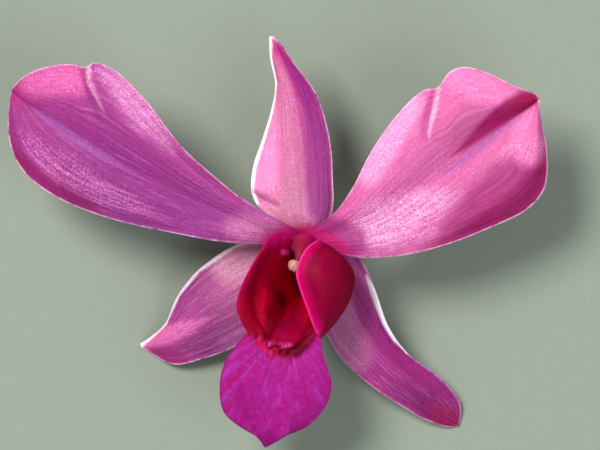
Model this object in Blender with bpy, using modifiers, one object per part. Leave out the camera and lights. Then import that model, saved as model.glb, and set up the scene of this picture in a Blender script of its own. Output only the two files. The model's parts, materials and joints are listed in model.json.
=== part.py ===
# A dendrobium orchid flower as picked, lying face up on a flat surface.
#
# The flower rests on the tips of its two lateral sepals and on the far end of its pedicel.
# Lists of points are in millimetres from the heart, where all its pieces meet: x to the right,
# y towards the dorsal sepal, z out of the face.  Objects are in metres and hang on an empty at
# the heart.

import math

import bpy
import numpy as np
from mathutils import Matrix, Vector

MM = 0.001
HEART = (3.4, -0.45, 15.0)  # from the middle of the flower's footprint, at the surface it lies on
SEPAL_THICKNESS = 0.6
PETAL_THICKNESS = 0.5
LIP_THICKNESS = 0.5
SAMPLES = 12  # along one span of a smooth curve
SEPAL_MESH = (24, 5)  # rows from base to tip, and steps from each curve to the next
PETAL_MESH = (30, 7)
LIP_MESH = (44, 4)

MAGENTA = (0.55, 0.08, 0.32)
PALE_MAGENTA = (0.62, 0.16, 0.38)
CRIMSON = (0.30, 0.01, 0.09)
PALE_PINK = (0.72, 0.38, 0.48)
CREAM = (0.86, 0.80, 0.62)
POLLEN_YELLOW = (0.85, 0.62, 0.10)
STALK_GREEN = (0.35, 0.42, 0.16)

# Each sepal and petal is a sheet lofted through three curves from base to tip.
DORSAL_SEPAL = {
    "left": [
        (-2.2, 2.1, -2.8), (-4.1, 3.8, -2.0), (-6.4, 5.8, -1.8), (-7.1, 7.8, -1.6), (-6.8, 11.0, -1.2),
        (-5.5, 14.8, -0.9), (-4.3, 18.8, -0.7), (-3.7, 22.6, -0.7), (-4.4, 26.2, -1.1), (-4.5, 29.1, -1.8),
    ],
    "midrib": [
        (0.0, 2.1, -2.8), (-0.3, 4.6, -1.0), (-0.9, 11.0, 0.6), (-1.6, 17.0, 1.1), (-2.4, 23.0, 0.4),
        (-4.3, 29.3, -1.8),
    ],
    "right": [
        (2.2, 2.0, -2.8), (3.8, 3.6, -2.0), (4.4, 6.0, -1.6), (4.3, 9.0, -1.1), (4.1, 13.0, -0.8),
        (3.3, 17.2, -0.6), (1.8, 21.4, -0.6), (-0.9, 25.1, -0.9), (-3.0, 28.1, -1.5), (-4.1, 29.2, -1.8),
    ],
}
LEFT_PETAL = {
    "left": [
        (-1.9, 2.7, -1.4), (-5.2, 4.5, 0.4), (-10.0, 7.7, 1.8), (-16.8, 13.8, 3.6), (-22.0, 20.5, 4.8),
        (-26.0, 24.3, 5.4), (-28.8, 25.4, 5.6), (-30.3, 24.9, 5.8), (-32.2, 25.2, 6.0), (-36.4, 24.6, 5.2),
        (-39.2, 23.2, 3.8), (-40.3, 22.0, 2.6),
    ],
    "midrib": [
        (-1.95, 1.35, -1.5), (-6.0, 2.7, 0.1), (-12.0, 5.2, 1.3), (-20.0, 8.8, 2.6), (-28.0, 13.0, 3.2),
        (-35.0, 17.6, 3.0), (-40.5, 21.6, 2.3),
    ],
    "right": [
        (-2.0, 0.0, -1.6), (-6.0, 0.1, -0.2), (-12.0, 0.6, 0.6), (-20.0, 2.1, 1.4), (-28.0, 4.1, 1.7),
        (-35.0, 7.1, 1.5), (-38.7, 10.0, 1.3), (-40.6, 13.4, 1.4), (-41.1, 17.2, 1.7), (-40.6, 21.2, 2.3),
    ],
}
RIGHT_PETAL = {
    "left": [
        (1.9, 2.6, -1.4), (4.7, 4.7, 0.4), (7.0, 7.9, 1.8), (10.0, 13.6, 3.4), (13.8, 18.8, 4.8),
        (17.0, 21.6, 5.4), (19.0, 22.0, 5.8), (20.4, 24.0, 6.4), (22.4, 24.8, 6.4), (26.0, 23.9, 5.6),
        (29.6, 22.2, 4.4), (31.6, 21.5, 3.4), (33.1, 20.9, 2.7),
    ],
    "midrib": [
        (1.95, 1.25, -1.5), (6.0, 2.0, 0.1), (12.0, 4.4, 1.3), (19.0, 9.4, 2.4), (26.0, 15.1, 2.8),
        (33.2, 20.5, 2.6),
    ],
    "right": [
        (2.0, -0.1, -1.7), (5.0, -1.1, -0.6), (8.0, -1.7, 0.1), (14.0, -1.4, 1.0), (20.0, 0.0, 1.4),
        (26.0, 2.3, 1.4), (31.6, 5.1, 1.2), (33.9, 7.9, 1.2), (34.3, 12.0, 1.4), (33.7, 16.4, 1.9),
        (33.1, 19.2, 2.4), (33.2, 20.2, 2.5),
    ],
}
PETAL_SWELL = 1.1  # of the side towards the dorsal sepal, halfway along
LEFT_LATERAL_SEPAL = {
    "left": [
        (-2.0, 0.6, -3.0), (-5.2, 1.0, -3.4), (-9.4, -0.1, -4.4), (-14.6, -3.6, -6.6), (-17.5, -7.1, -9.0),
        (-19.3, -11.2, -11.6), (-21.4, -13.1, -13.6), (-22.9, -14.1, -14.7),
    ],
    "midrib": [
        (-1.9, -2.6, -6.4), (-5.0, -4.8, -7.2), (-10.0, -8.2, -8.2), (-15.5, -11.4, -10.2),
        (-20.0, -13.6, -13.0), (-22.9, -14.3, -14.7),
    ],
    "right": [
        (-1.2, -7.6, -11.6), (-4.4, -11.2, -10.8), (-9.6, -14.4, -10.8), (-14.0, -16.1, -12.0),
        (-18.0, -17.0, -13.4), (-20.8, -15.8, -14.3), (-22.7, -14.5, -14.7),
    ],
}
RIGHT_LATERAL_SEPAL = {
    "left": [
        (1.2, -7.6, -11.6), (3.4, -12.4, -9.8), (5.6, -16.0, -9.6), (9.9, -20.0, -10.4), (14.0, -22.8, -12.0),
        (17.8, -25.0, -13.6), (20.6, -25.9, -14.5), (22.0, -25.8, -14.7),
    ],
    "midrib": [
        (1.9, -2.6, -6.4), (4.6, -6.8, -7.2), (8.2, -12.4, -7.8), (13.0, -17.6, -9.6), (18.0, -22.1, -12.4),
        (22.2, -25.6, -14.7),
    ],
    "right": [
        (2.0, 0.6, -3.0), (5.8, 0.4, -3.4), (8.4, -2.2, -4.2), (10.2, -6.0, -5.4), (12.1, -11.4, -7.4),
        (14.8, -15.2, -9.4), (20.0, -19.3, -12.0), (22.4, -22.6, -13.8), (22.4, -25.3, -14.7),
    ],
}
# The lip's side lobes stand up round the column, the right one curls over it, and the middle lobe
# spreads below them.  Its curves follow the parts that they are named for.
LIP = {
    "left margin": [
        (-0.6, -6.9, -10.0), (-1.6, -5.3, -7.6), (-2.2, -3.3, -4.6), (-2.5, -1.4, -1.6), (-2.6, 0.4, 0.9),
        (-3.5, 1.1, 2.6), (-4.9, 0.1, 3.7), (-6.3, -2.2, 4.4), (-8.4, -5.8, 4.8), (-9.1, -8.7, 4.2), (-8.5, -10.6, 3.4),
        (-7.6, -11.9, 2.8), (-9.2, -13.9, 2.6), (-10.8, -16.4, 2.4), (-11.5, -19.6, 1.8),
        (-11.0, -23.2, 0.8), (-8.8, -25.4, -0.2), (-6.2, -26.9, -0.8), (-5.3, -28.0, -1.0),
    ],
    "left wall": [
        (-0.4, -7.2, -10.2), (-1.6, -7.3, -7.8), (-3.1, -6.6, -4.8), (-4.0, -5.6, -2.2), (-4.8, -4.8, 0.0),
        (-5.6, -5.2, 1.2), (-6.4, -6.8, 1.8), (-6.6, -8.8, 1.8), (-6.1, -10.8, 1.7), (-5.4, -12.5, 1.9),
        (-6.2, -14.8, 2.4), (-7.0, -17.8, 2.4), (-7.5, -21.4, 1.7), (-7.0, -25.0, 0.4), (-5.3, -28.1, -1.0),
    ],
    "midline": [
        (0.0, -7.4, -10.3), (-0.3, -8.7, -7.8), (-0.8, -9.7, -5.0), (-1.1, -10.6, -2.6), (-1.5, -11.8, -0.4),
        (-2.0, -13.2, 1.2), (-2.5, -14.9, 2.0), (-3.1, -17.6, 2.3), (-3.8, -21.4, 1.8), (-4.5, -25.2, 0.6),
        (-5.1, -28.3, -1.0),
    ],
    "right wall": [
        (0.4, -7.2, -10.2), (1.4, -7.3, -7.8), (3.0, -6.4, -4.8), (4.6, -5.2, -1.8), (6.2, -4.0, 0.6),
        (7.1, -4.6, 1.9), (6.8, -6.8, 2.2), (5.6, -9.2, 2.0), (3.9, -11.4, 1.6), (1.7, -13.6, 2.0),
        (1.2, -15.4, 2.4), (1.0, -18.4, 2.4), (0.4, -22.0, 1.7), (-1.7, -25.6, 0.4), (-4.9, -28.1, -1.0),
    ],
    "right crest": [
        (0.5, -7.0, -10.1), (1.6, -6.0, -7.7), (2.8, -4.5, -4.7), (4.0, -2.9, -1.6), (4.7, -1.2, 1.8),
        (4.3, -1.1, 4.4), (3.2, -3.0, 5.8), (2.8, -5.2, 6.1), (2.9, -8.0, 5.2), (2.9, -10.6, 3.8),
        (2.3, -13.2, 2.6), (2.2, -15.4, 2.6), (2.7, -18.8, 2.3), (2.1, -22.0, 1.4), (-0.2, -25.2, 0.3),
        (-4.8, -28.1, -1.0),
    ],
    "right margin": [
        (0.6, -6.9, -10.0), (1.5, -5.3, -7.6), (2.1, -3.3, -4.6), (2.4, -1.4, -1.6), (2.5, 0.4, 0.9),
        (2.0, 0.6, 3.2), (0.4, -0.7, 4.6), (-0.8, -3.6, 5.1), (-0.3, -6.0, 4.8), (0.7, -8.8, 4.2),
        (1.6, -11.3, 3.1), (2.6, -13.2, 2.6), (3.0, -15.6, 2.5), (4.1, -19.2, 2.0), (3.4, -22.2, 1.0),
        (1.0, -25.0, 0.0), (-3.0, -26.9, -0.7), (-4.8, -27.9, -1.0),
    ],
}
CALLUS = {  # places and widths are shares of the lip, across from -1 to 1 and along from 0 to 1
    "height": 1.1, "middle": -0.2, "half width": 0.24, "flat part": 0.4, "start": 0.22, "rise": 0.2,
    "end": 0.52, "drop": 0.03,
}
COLUMN = {
    "path": [
        (0.0, -6.4, -11.8), (0.0, -4.4, -7.8), (0.0, -1.6, -4.0), (0.0, 0.0, -1.4), (-0.3, -0.8, 1.0),
        (-0.9, -2.6, 2.8),
    ],
    "half width": [0.8, 1.0, 1.3, 1.5, 1.4, 0.95],
    "half depth": [0.4, 0.5, 1.0, 1.4, 1.2, 0.85],
    "blunt ends": 1.6,
}
ANTHER_CAP = {"radius": 1.0, "height": 1.1, "wall": 0.2, "gap": 0.2}
POLLINIUM = {"half size": (0.1, 0.34, 0.17), "spacing": 0.3, "lift": 0.34}
PEDICEL = {
    "path": [
        (0.0, 0.95, -4.2), (-0.2, 2.3, -6.6), (-0.5, 5.4, -9.6), (-0.9, 10.2, -12.2), (-1.4, 16.2, -13.7),
        (-1.7, 22.4, -14.05),
    ],
    "radius": [1.4, 1.4, 1.25, 1.05, 0.95, 0.95],
}


def clear_scene():
    for obj in list(bpy.data.objects):
        bpy.data.objects.remove(obj)


def finish(name, colour, roughness):
    material = bpy.data.materials.new(name)
    material.use_nodes = True
    shader = material.node_tree.nodes["Principled BSDF"]
    shader.inputs["Base Color"].default_value = (*colour, 1.0)
    shader.inputs["Roughness"].default_value = roughness
    return material


def through(points, per_span):
    """A smooth curve through the points, as per_span samples along each span and the last point."""
    inner = np.array(points, float)
    whole = np.vstack([2 * inner[0] - inner[1], inner, 2 * inner[-1] - inner[-2]])
    steps = np.linalg.norm(np.diff(whole, axis=0), axis=1) ** 0.5
    knots = np.concatenate([[0.0], np.cumsum(steps)])
    samples = []
    for span in range(1, len(whole) - 2):
        a, b, c, d = whole[span - 1 : span + 3]
        ta, tb, tc, td = knots[span - 1 : span + 3]
        for step in range(per_span):
            t = tb + (tc - tb) * step / per_span
            ab = ((tb - t) * a + (t - ta) * b) / (tb - ta)
            bc = ((tc - t) * b + (t - tb) * c) / (tc - tb)
            cd = ((td - t) * c + (t - tc) * d) / (td - tc)
            abc = ((tc - t) * ab + (t - ta) * bc) / (tc - ta)
            bcd = ((td - t) * bc + (t - tb) * cd) / (td - tb)
            samples.append(((tc - t) * abc + (t - tb) * bcd) / (tc - tb))
    samples.append(inner[-1])
    return np.array(samples)


def evenly(points, fractions):
    """Where these fractions of the length of a smooth curve through the points are reached."""
    dense = through(points, SAMPLES)
    length = np.concatenate([[0.0], np.cumsum(np.linalg.norm(np.diff(dense, axis=0), axis=1))])
    return np.column_stack([np.interp(fractions, length / length[-1], dense[:, k]) for k in range(3)])


def link(obj, heart, material):
    bpy.data.collections["dendrobium_flower"].objects.link(obj)
    for other in list(obj.users_collection):
        if other.name != "dendrobium_flower":
            other.objects.unlink(obj)
    obj.parent = heart
    obj.data.materials.clear()
    obj.data.materials.append(material)
    return obj


def blade(name, curves, mesh_size, thickness, lift, heart, material):
    """A sheet lofted through curves that run from base to tip, with its thickness from Solidify."""
    rows, per_span = mesh_size
    along = np.linspace(0.0, 1.0, rows + 1)
    lines = [evenly(curve, along) for curve in curves]
    points = np.array([through(row, per_span) for row in zip(*lines)])
    columns = points.shape[1]
    across = np.linspace(-1.0, 1.0, columns)
    points[:, :, 2] += lift(along[:, None], across[None, :])
    bpy.ops.mesh.primitive_grid_add(x_subdivisions=columns - 1, y_subdivisions=rows, size=1.0)
    obj = bpy.context.object
    obj.name = name
    obj.data.vertices.foreach_set("co", (points * MM).ravel())
    obj.data.update()
    obj.data.shade_smooth()
    wall = obj.modifiers.new("thickness", "SOLIDIFY")
    wall.thickness = thickness * MM
    wall.offset = 0.0
    return link(obj, heart, material)


def ramp(start, end, value):
    t = np.clip((value - start) / (end - start), 0.0, 1.0)
    return t * t * (3.0 - 2.0 * t)


def no_lift(along, across):
    return 0.0 * along * across


def petal_lift(side):
    """The side of a petal towards the dorsal sepal swells a little."""
    def lift(along, across):
        towards = np.clip(side * across, 0.0, 1.0)
        return PETAL_SWELL * np.sin(np.pi * towards) ** 2 * np.sin(np.pi * along)
    return lift


def lip_lift(along, across):
    """The callus, a raised plate that runs down the throat and ends between the lobes."""
    sideways = np.abs(across - CALLUS["middle"])
    plate = ramp(CALLUS["half width"], CALLUS["half width"] * CALLUS["flat part"], sideways)
    length = ramp(CALLUS["start"], CALLUS["start"] + CALLUS["rise"], along)
    end = ramp(CALLUS["end"] + CALLUS["drop"], CALLUS["end"], along)
    return CALLUS["height"] * plate * length * end


def three_curves(shape):
    return [shape["left"], shape["midrib"], shape["right"]]


def column(heart, material):
    """The column and its foot: a sphere drawn out along a path, flattened as the sizes say."""
    bpy.ops.mesh.primitive_uv_sphere_add(segments=20, ring_count=28, radius=1.0)
    obj = bpy.context.object
    obj.name = "column"
    for vertex in obj.data.vertices:
        x, y, z = vertex.co
        along = math.acos(max(-1.0, min(1.0, -z))) / math.pi
        ends = min(1.0, math.hypot(x, y) * COLUMN["blunt ends"])
        spread = max(math.hypot(x, y), 1e-9)
        place = evenly(COLUMN["path"], [max(0.0, along - 0.01), min(1.0, along + 0.01)])
        centre = Vector(place.mean(axis=0))
        forward = Vector(place[1] - place[0]).normalized()
        side = Vector((1.0, 0.0, 0.0))
        up = forward.cross(side).normalized()
        stations = np.linspace(0.0, 1.0, len(COLUMN["half width"]))
        width = float(np.interp(along, stations, COLUMN["half width"])) * ends
        depth = float(np.interp(along, stations, COLUMN["half depth"])) * ends
        vertex.co = (centre + side * (x / spread * width) + up * (y / spread * depth)) * MM
    obj.data.update()
    obj.data.shade_smooth()
    return link(obj, heart, material)


def column_tip():
    """The frame at the column's tip: its place, and its axis as local +Z."""
    before, tip = [Vector(p) for p in evenly(COLUMN["path"], [0.9, 1.0])]
    axis = (tip - before).normalized()
    turn = axis.to_track_quat("Z", "Y").to_matrix().to_4x4()
    return Matrix.Translation((tip + axis * ANTHER_CAP["gap"]) * MM) @ turn


def anther_cap(heart, material):
    """A helmet turned from one profile, open towards the column."""
    radius, height, wall = ANTHER_CAP["radius"], ANTHER_CAP["height"], ANTHER_CAP["wall"]
    turns = np.linspace(0.0, math.pi / 2, 9)
    outer = [(radius * math.sin(a), height * math.cos(a)) for a in turns]
    inner = [((radius - wall) * math.sin(a), (height - wall) * math.cos(a)) for a in turns[::-1]]
    mesh = bpy.data.meshes.new("anther_cap")
    profile = [(x * MM, 0.0, z * MM) for x, z in outer + inner]
    mesh.from_pydata(profile, [(i, i + 1) for i in range(len(profile) - 1)], [])
    obj = bpy.data.objects.new("anther_cap", mesh)
    turned = obj.modifiers.new("turned", "SCREW")
    turned.axis = "Z"
    turned.steps = turned.render_steps = 24
    turned.use_merge_vertices = True
    turned.merge_threshold = 0.00001
    turned.use_smooth_shade = True
    link(obj, heart, material)
    obj.matrix_local = column_tip()
    return obj


def pollinia(heart, material):
    """Four waxy masses of pollen, side by side under the cap."""
    for number in range(4):
        bpy.ops.mesh.primitive_uv_sphere_add(segments=12, ring_count=8, radius=MM)
        obj = bpy.context.object
        obj.name = f"pollinium_{number + 1}"
        obj.data.transform(Matrix.Diagonal((*POLLINIUM["half size"], 1.0)))
        obj.data.shade_smooth()
        link(obj, heart, material)
        place = Vector(((number - 1.5) * POLLINIUM["spacing"], 0.0, POLLINIUM["lift"])) * MM
        obj.matrix_local = column_tip() @ Matrix.Translation(place)


def pedicel(heart, material):
    """The flower's stalk, thicker where it holds the ovary, cut square at its far end."""
    fractions = np.linspace(0.0, 1.0, 28)
    places = evenly(PEDICEL["path"], fractions)
    stations = np.linspace(0.0, 1.0, len(PEDICEL["radius"]))
    curve = bpy.data.curves.new("pedicel", "CURVE")
    curve.dimensions = "3D"
    curve.bevel_depth = MM
    curve.bevel_resolution = 2
    curve.use_fill_caps = True
    line = curve.splines.new("POLY")
    line.points.add(len(places) - 1)
    for point, place, fraction in zip(line.points, places, fractions):
        point.co = (*(place * MM), 1.0)
        point.radius = float(np.interp(fraction, stations, PEDICEL["radius"]))
    return link(bpy.data.objects.new("pedicel", curve), heart, material)


def build():
    clear_scene()
    group = bpy.data.collections.new("dendrobium_flower")
    bpy.context.scene.collection.children.link(group)
    heart = bpy.data.objects.new("heart", None)
    heart.location = Vector(HEART) * MM
    group.objects.link(heart)

    sepal = finish("sepal", PALE_MAGENTA, 0.5)
    petal = finish("petal", MAGENTA, 0.5)
    lip = finish("lip", CRIMSON, 0.45)
    for name, shape in (
        ("dorsal_sepal", DORSAL_SEPAL),
        ("lateral_sepal_left", LEFT_LATERAL_SEPAL),
        ("lateral_sepal_right", RIGHT_LATERAL_SEPAL),
    ):
        blade(name, three_curves(shape), SEPAL_MESH, SEPAL_THICKNESS, no_lift, heart, sepal)
    for name, shape in (("petal_left", LEFT_PETAL), ("petal_right", RIGHT_PETAL)):
        blade(name, three_curves(shape), PETAL_MESH, PETAL_THICKNESS, petal_lift(-1), heart, petal)
    blade("lip", list(LIP.values()), LIP_MESH, LIP_THICKNESS, lip_lift, heart, lip)
    column(heart, finish("column", PALE_PINK, 0.45))
    anther_cap(heart, finish("anther_cap", CREAM, 0.4))
    pollinia(heart, finish("pollinium", POLLEN_YELLOW, 0.4))
    pedicel(heart, finish("pedicel", STALK_GREEN, 0.5))


build()
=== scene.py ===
import json
import math

import bpy
import numpy as np
from mathutils import Matrix, Vector

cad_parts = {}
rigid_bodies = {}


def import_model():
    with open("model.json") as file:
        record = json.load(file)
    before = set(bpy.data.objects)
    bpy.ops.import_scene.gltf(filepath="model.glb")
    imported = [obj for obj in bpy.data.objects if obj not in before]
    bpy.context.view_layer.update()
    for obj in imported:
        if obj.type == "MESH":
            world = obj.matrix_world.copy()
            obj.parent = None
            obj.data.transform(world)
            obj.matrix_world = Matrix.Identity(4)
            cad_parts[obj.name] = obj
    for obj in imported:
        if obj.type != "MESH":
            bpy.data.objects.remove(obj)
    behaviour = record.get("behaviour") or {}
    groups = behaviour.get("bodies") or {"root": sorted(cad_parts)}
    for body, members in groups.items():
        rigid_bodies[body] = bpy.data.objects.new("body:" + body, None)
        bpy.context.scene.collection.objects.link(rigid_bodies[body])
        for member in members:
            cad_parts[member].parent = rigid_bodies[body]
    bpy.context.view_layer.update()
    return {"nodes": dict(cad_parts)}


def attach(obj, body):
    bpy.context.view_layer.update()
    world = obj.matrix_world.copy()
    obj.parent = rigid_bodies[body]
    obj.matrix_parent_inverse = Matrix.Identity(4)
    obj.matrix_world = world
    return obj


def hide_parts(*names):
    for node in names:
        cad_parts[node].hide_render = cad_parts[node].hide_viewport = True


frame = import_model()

mm = 0.001
heart = np.array((3.4, -0.45, 15.0))  # where all the pieces meet, in millimetres
print("frame loaded:", len(frame["nodes"]), "nodes")


# Shapes: a petal, a sepal and the lip are all sheets lofted through curves from base to tip.

def between(t, first, start, last, end):
    return ((end - t) * first + (t - start) * last) / (end - start)


def smoothThrough(points, perSpan):
    # points is (curve point, row, xyz); a centripetal curve runs through the first index
    whole = np.concatenate([2 * points[:1] - points[1:2], points, 2 * points[-1:] - points[-2:-1]])
    gaps = np.linalg.norm(np.diff(whole, axis=0), axis=2, keepdims=True) ** 0.5
    knots = np.concatenate([0 * gaps[:1], np.cumsum(gaps, axis=0)])
    samples = []
    for span in range(1, len(whole) - 2):
        a, b, c, d = whole[span - 1:span + 3]
        ta, tb, tc, td = knots[span - 1:span + 3]
        for step in range(perSpan):
            t = tb + (tc - tb) * step / perSpan
            ab = between(t, a, ta, b, tb)
            bc = between(t, b, tb, c, tc)
            cd = between(t, c, tc, d, td)
            abc = between(t, ab, ta, bc, tc)
            bcd = between(t, bc, tb, cd, td)
            samples.append(between(t, abc, tb, bcd, tc))
    samples.append(points[-1])
    return np.array(samples)


def placesAlong(curve, shares):
    dense = smoothThrough(np.array(curve, float)[:, None, :], 16)[:, 0, :]
    length = np.concatenate([[0.0], np.cumsum(np.linalg.norm(np.diff(dense, axis=0), axis=1))])
    return np.column_stack([np.interp(shares, length / length[-1], dense[:, k]) for k in range(3)])


def ramp(start, end, value):
    t = np.clip((value - start) / (end - start), 0.0, 1.0)
    return t * t * (3.0 - 2.0 * t)


def bell(value, middle, width):
    return np.exp(-((value - middle) / width) ** 2)


def ripple(across, along, seed, acrossWaves, alongWaves):
    # smooth irregular waves between about -1 and 1, the same each run
    draw = np.random.RandomState(seed)
    total = 0.0 * across
    waves = 7
    for _ in range(waves):
        total = total + np.sin(
            across * acrossWaves * draw.uniform(0.6, 1.4)
            + along * alongWaves * draw.uniform(-1.0, 1.0)
            + draw.uniform(0.0, 2 * math.pi)
        )
    return total / (0.5 * waves)


def nearLine(x, y, start, end):
    # distance in plan from the line, and the share of the way along it
    dx, dy = end[0] - start[0], end[1] - start[1]
    share = np.clip(((x - start[0]) * dx + (y - start[1]) * dy) / (dx * dx + dy * dy), 0.0, 1.0)
    return np.hypot(x - start[0] - share * dx, y - start[1] - share * dy), share


def stroke(colour, share, soft, line, uneven=1.2):
    # paint along a line of (x, y, half width) seen from above, which fades out over the soft width
    return {"colour": colour, "share": share, "soft": soft, "line": line, "uneven": uneven}


def paintStrokes(mesh, strokes, x, y, copies=1):
    # how far each stroke covers a vertex is kept on the vertices
    for label, brush in strokes.items():
        cover = 0.0 * x
        for start, end in zip(brush["line"][:-1], brush["line"][1:]):
            away, share = nearLine(x, y, start, end)
            away = away - start[2] - (end[2] - start[2]) * share
            cover = np.maximum(cover, ramp(brush["soft"], 0.0, away))
        saveNumbers(mesh, label, cover, copies)


def saveNumbers(mesh, name, values, copies=1):
    layer = mesh.attributes.new(name, "FLOAT", "POINT")
    layer.data.foreach_set("value", np.tile(np.asarray(values, np.float32).ravel(), copies))


def newPiece(name, addShape, **sizes):
    bpy.ops.object.select_all(action="DESELECT")
    addShape(**sizes)
    piece = bpy.context.object
    piece.name = piece.data.name = name
    return piece


def applyWall(piece, thickness, **settings):
    wall = piece.modifiers.new("wall", "SOLIDIFY")
    wall.thickness = thickness * mm
    for name, value in settings.items():
        setattr(wall, name, value)
    bpy.ops.object.select_all(action="DESELECT")
    piece.select_set(True)
    bpy.context.view_layer.objects.active = piece
    bpy.ops.object.modifier_apply(modifier="wall")


def sheetPiece(name, shape, relief, marks=None):
    rows, perSpan = shape["rows"], shape["perSpan"]
    along = np.linspace(0.0, 1.0, rows + 1)
    lines = np.array([placesAlong(curve, along) for curve in shape["curves"]])
    points = smoothThrough(lines, perSpan).transpose(1, 0, 2)
    columns = points.shape[1]
    across = np.linspace(-1.0, 1.0, columns)[None, :] * np.ones((rows + 1, 1))
    along = along[:, None] * np.ones((1, columns))
    steps = np.linalg.norm(np.diff(points, axis=1), axis=2)
    fromLeft = np.concatenate([0 * steps[:, :1], np.cumsum(steps, axis=1)], axis=1)
    edge = np.minimum(fromLeft, fromLeft[:, -1:] - fromLeft)
    points[:, :, 2] += relief(across, along, points[:, :, 0], points[:, :, 1], edge)

    obj = newPiece(name, bpy.ops.mesh.primitive_grid_add, x_subdivisions=columns - 1, y_subdivisions=rows,
                   size=1.0)
    obj.data.vertices.foreach_set("co", ((points + heart) * mm).ravel())
    obj.data.update()
    rim = obj.vertex_groups.new(name="wall")
    wall = np.round(ramp(0.0, shape["thinEdge"], edge.ravel()), 2)
    for level in np.unique(wall):
        rim.add(np.nonzero(wall == level)[0].tolist(), float(level), "REPLACE")
    applyWall(obj, shape["thickness"], offset=0.0, vertex_group="wall",
              thickness_vertex_group=shape["edgeShare"])
    obj.vertex_groups.clear()

    mesh = obj.data
    count = points.shape[0] * columns
    copies = len(mesh.vertices) // count
    places = {"across": across, "along": along, "edge": edge}
    if marks:
        places.update(marks(*points.transpose(2, 0, 1), across))
    for label, values in places.items():
        saveNumbers(mesh, label, values, copies)
    paintStrokes(mesh, shape["strokes"], points[:, :, 0], points[:, :, 1], copies)
    normals = np.zeros(len(mesh.vertices) * 3)
    mesh.vertex_normals.foreach_get("vector", normals)
    first = normals.reshape(-1, 3)[count // 2:count, 2].mean()  # the far half faces up
    saveNumbers(mesh, "front", np.repeat([float(first > 0), float(first <= 0)], count))
    bpy.ops.object.shade_smooth_by_angle(angle=math.radians(60))
    print(name, "modelled:", len(mesh.polygons), "faces")
    return obj


# Finishes: a wire is one value in a material, and Python's operators add its Math nodes.

class Wire:
    def __init__(self, finish, socket):
        self.finish = finish
        self.socket = socket

    def math(self, operation, *values):
        sockets = dict(enumerate(values))
        return self.finish.node("ShaderNodeMath", {"operation": operation}, sockets)

    def __add__(self, other):
        return self.math("ADD", self, other)

    def __radd__(self, other):
        return self.math("ADD", other, self)

    def __sub__(self, other):
        return self.math("SUBTRACT", self, other)

    def __rsub__(self, other):
        return self.math("SUBTRACT", other, self)

    def __mul__(self, other):
        return self.math("MULTIPLY", self, other)

    def __pow__(self, other):
        return self.math("POWER", self, other)

    def wave(self):
        return self.math("SINE", self)

    def rise(self, low, high):
        # 0 below low and 1 above high, or the other way round where low is the larger
        settings = {"interpolation_type": "SMOOTHSTEP"}
        turned = low > high
        sockets = {"Value": self, "From Min": min(low, high), "From Max": max(low, high),
                   "To Min": float(turned), "To Max": float(not turned)}
        return self.finish.node("ShaderNodeMapRange", settings, sockets)


class Finish:
    def __init__(self, name):
        self.material = bpy.data.materials.new(name)
        self.material.use_nodes = True
        self.tree = self.material.node_tree
        self.tree.nodes.clear()

    def node(self, kind, settings=None, sockets=None, output=0):
        made = self.tree.nodes.new(kind)
        for name, value in (settings or {}).items():
            if name == "stops":
                self.setStops(made.color_ramp, value)
            else:
                setattr(made, name, value)
        for name, value in (sockets or {}).items():
            if isinstance(value, Wire):
                self.tree.links.new(value.socket, made.inputs[name])
            else:
                made.inputs[name].default_value = value
        return Wire(self, made.outputs[output]) if made.outputs else None

    def setStops(self, colourRamp, stops):
        while len(colourRamp.elements) < len(stops):
            colourRamp.elements.new(1.0)
        for element, (place, colour) in zip(colourRamp.elements, stops):
            element.position = place
            element.color = tint(colour)

    def mark(self, name):
        return self.node("ShaderNodeAttribute", {"attribute_name": name}, {}, "Fac")

    def place(self):
        return self.node("ShaderNodeTexCoord", {}, {}, "Object")

    def noise(self, cellMm, detail=2.0, roughness=0.5, at=None):
        sockets = {"Vector": at or self.place(), "Scale": 1.0 / (cellMm * mm), "Detail": detail,
                   "Roughness": roughness}
        return self.node("ShaderNodeTexNoise", {}, sockets, "Fac")

    def mix(self, share, first, second, blend="MIX"):
        values = {0: share, 6: first, 7: second}
        for key in (6, 7):
            if not isinstance(values[key], Wire):
                values[key] = tint(values[key])
        return self.node("ShaderNodeMix", {"data_type": "RGBA", "blend_type": blend}, values, 2)

    def ramp(self, value, stops):
        return self.node("ShaderNodeValToRGB", {"stops": stops}, {"Fac": value})

    def bump(self, height, depthMm, under=None):
        sockets = {"Height": height, "Distance": depthMm * mm, "Strength": 1.0}
        if under:
            sockets["Normal"] = under
        return self.node("ShaderNodeBump", {}, sockets)

    def alongVeins(self, side="across", acrossScale=0.020, alongScale=0.006):
        # places stretched along the veins, for streaks that run from base to tip
        sockets = {0: self.mark(side) * acrossScale, 1: self.mark("along") * alongScale, 2: 0.0}
        return self.node("ShaderNodeCombineXYZ", {}, sockets)

    def strokes(self, body, strokes, mottle):
        # the painted strokes, a little uneven in strength
        for label, brush in strokes.items():
            share = self.mark(label) * (mottle * brush["uneven"] + brush["share"])
            body = self.mix(share, body, brush["colour"])
        return body

    def close(self, colour, roughness, normal, values):
        sockets = {"Base Color": colour, "Roughness": roughness, "Normal": normal,
                   "Specular IOR Level": values["gloss"]}
        solid = self.node("ShaderNodeBsdfPrincipled", {}, sockets)
        sockets = {"Color": tint(values["glow"]), "Normal": normal}
        glow = self.node("ShaderNodeBsdfTranslucent", {}, sockets)
        both = self.node("ShaderNodeMixShader", {}, {0: values["translucence"], 1: solid, 2: glow})
        self.node("ShaderNodeOutputMaterial", {}, {"Surface": both})
        return self.material


def tint(colour):
    # from the 0 to 255 values of a colour picker to the light that they stand for
    if len(colour) == 4:
        return colour
    light = [c / 255 / 12.92 if c <= 10 else ((c / 255 + 0.055) / 1.055) ** 2.4 for c in colour]
    return (*light, 1.0)


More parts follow.
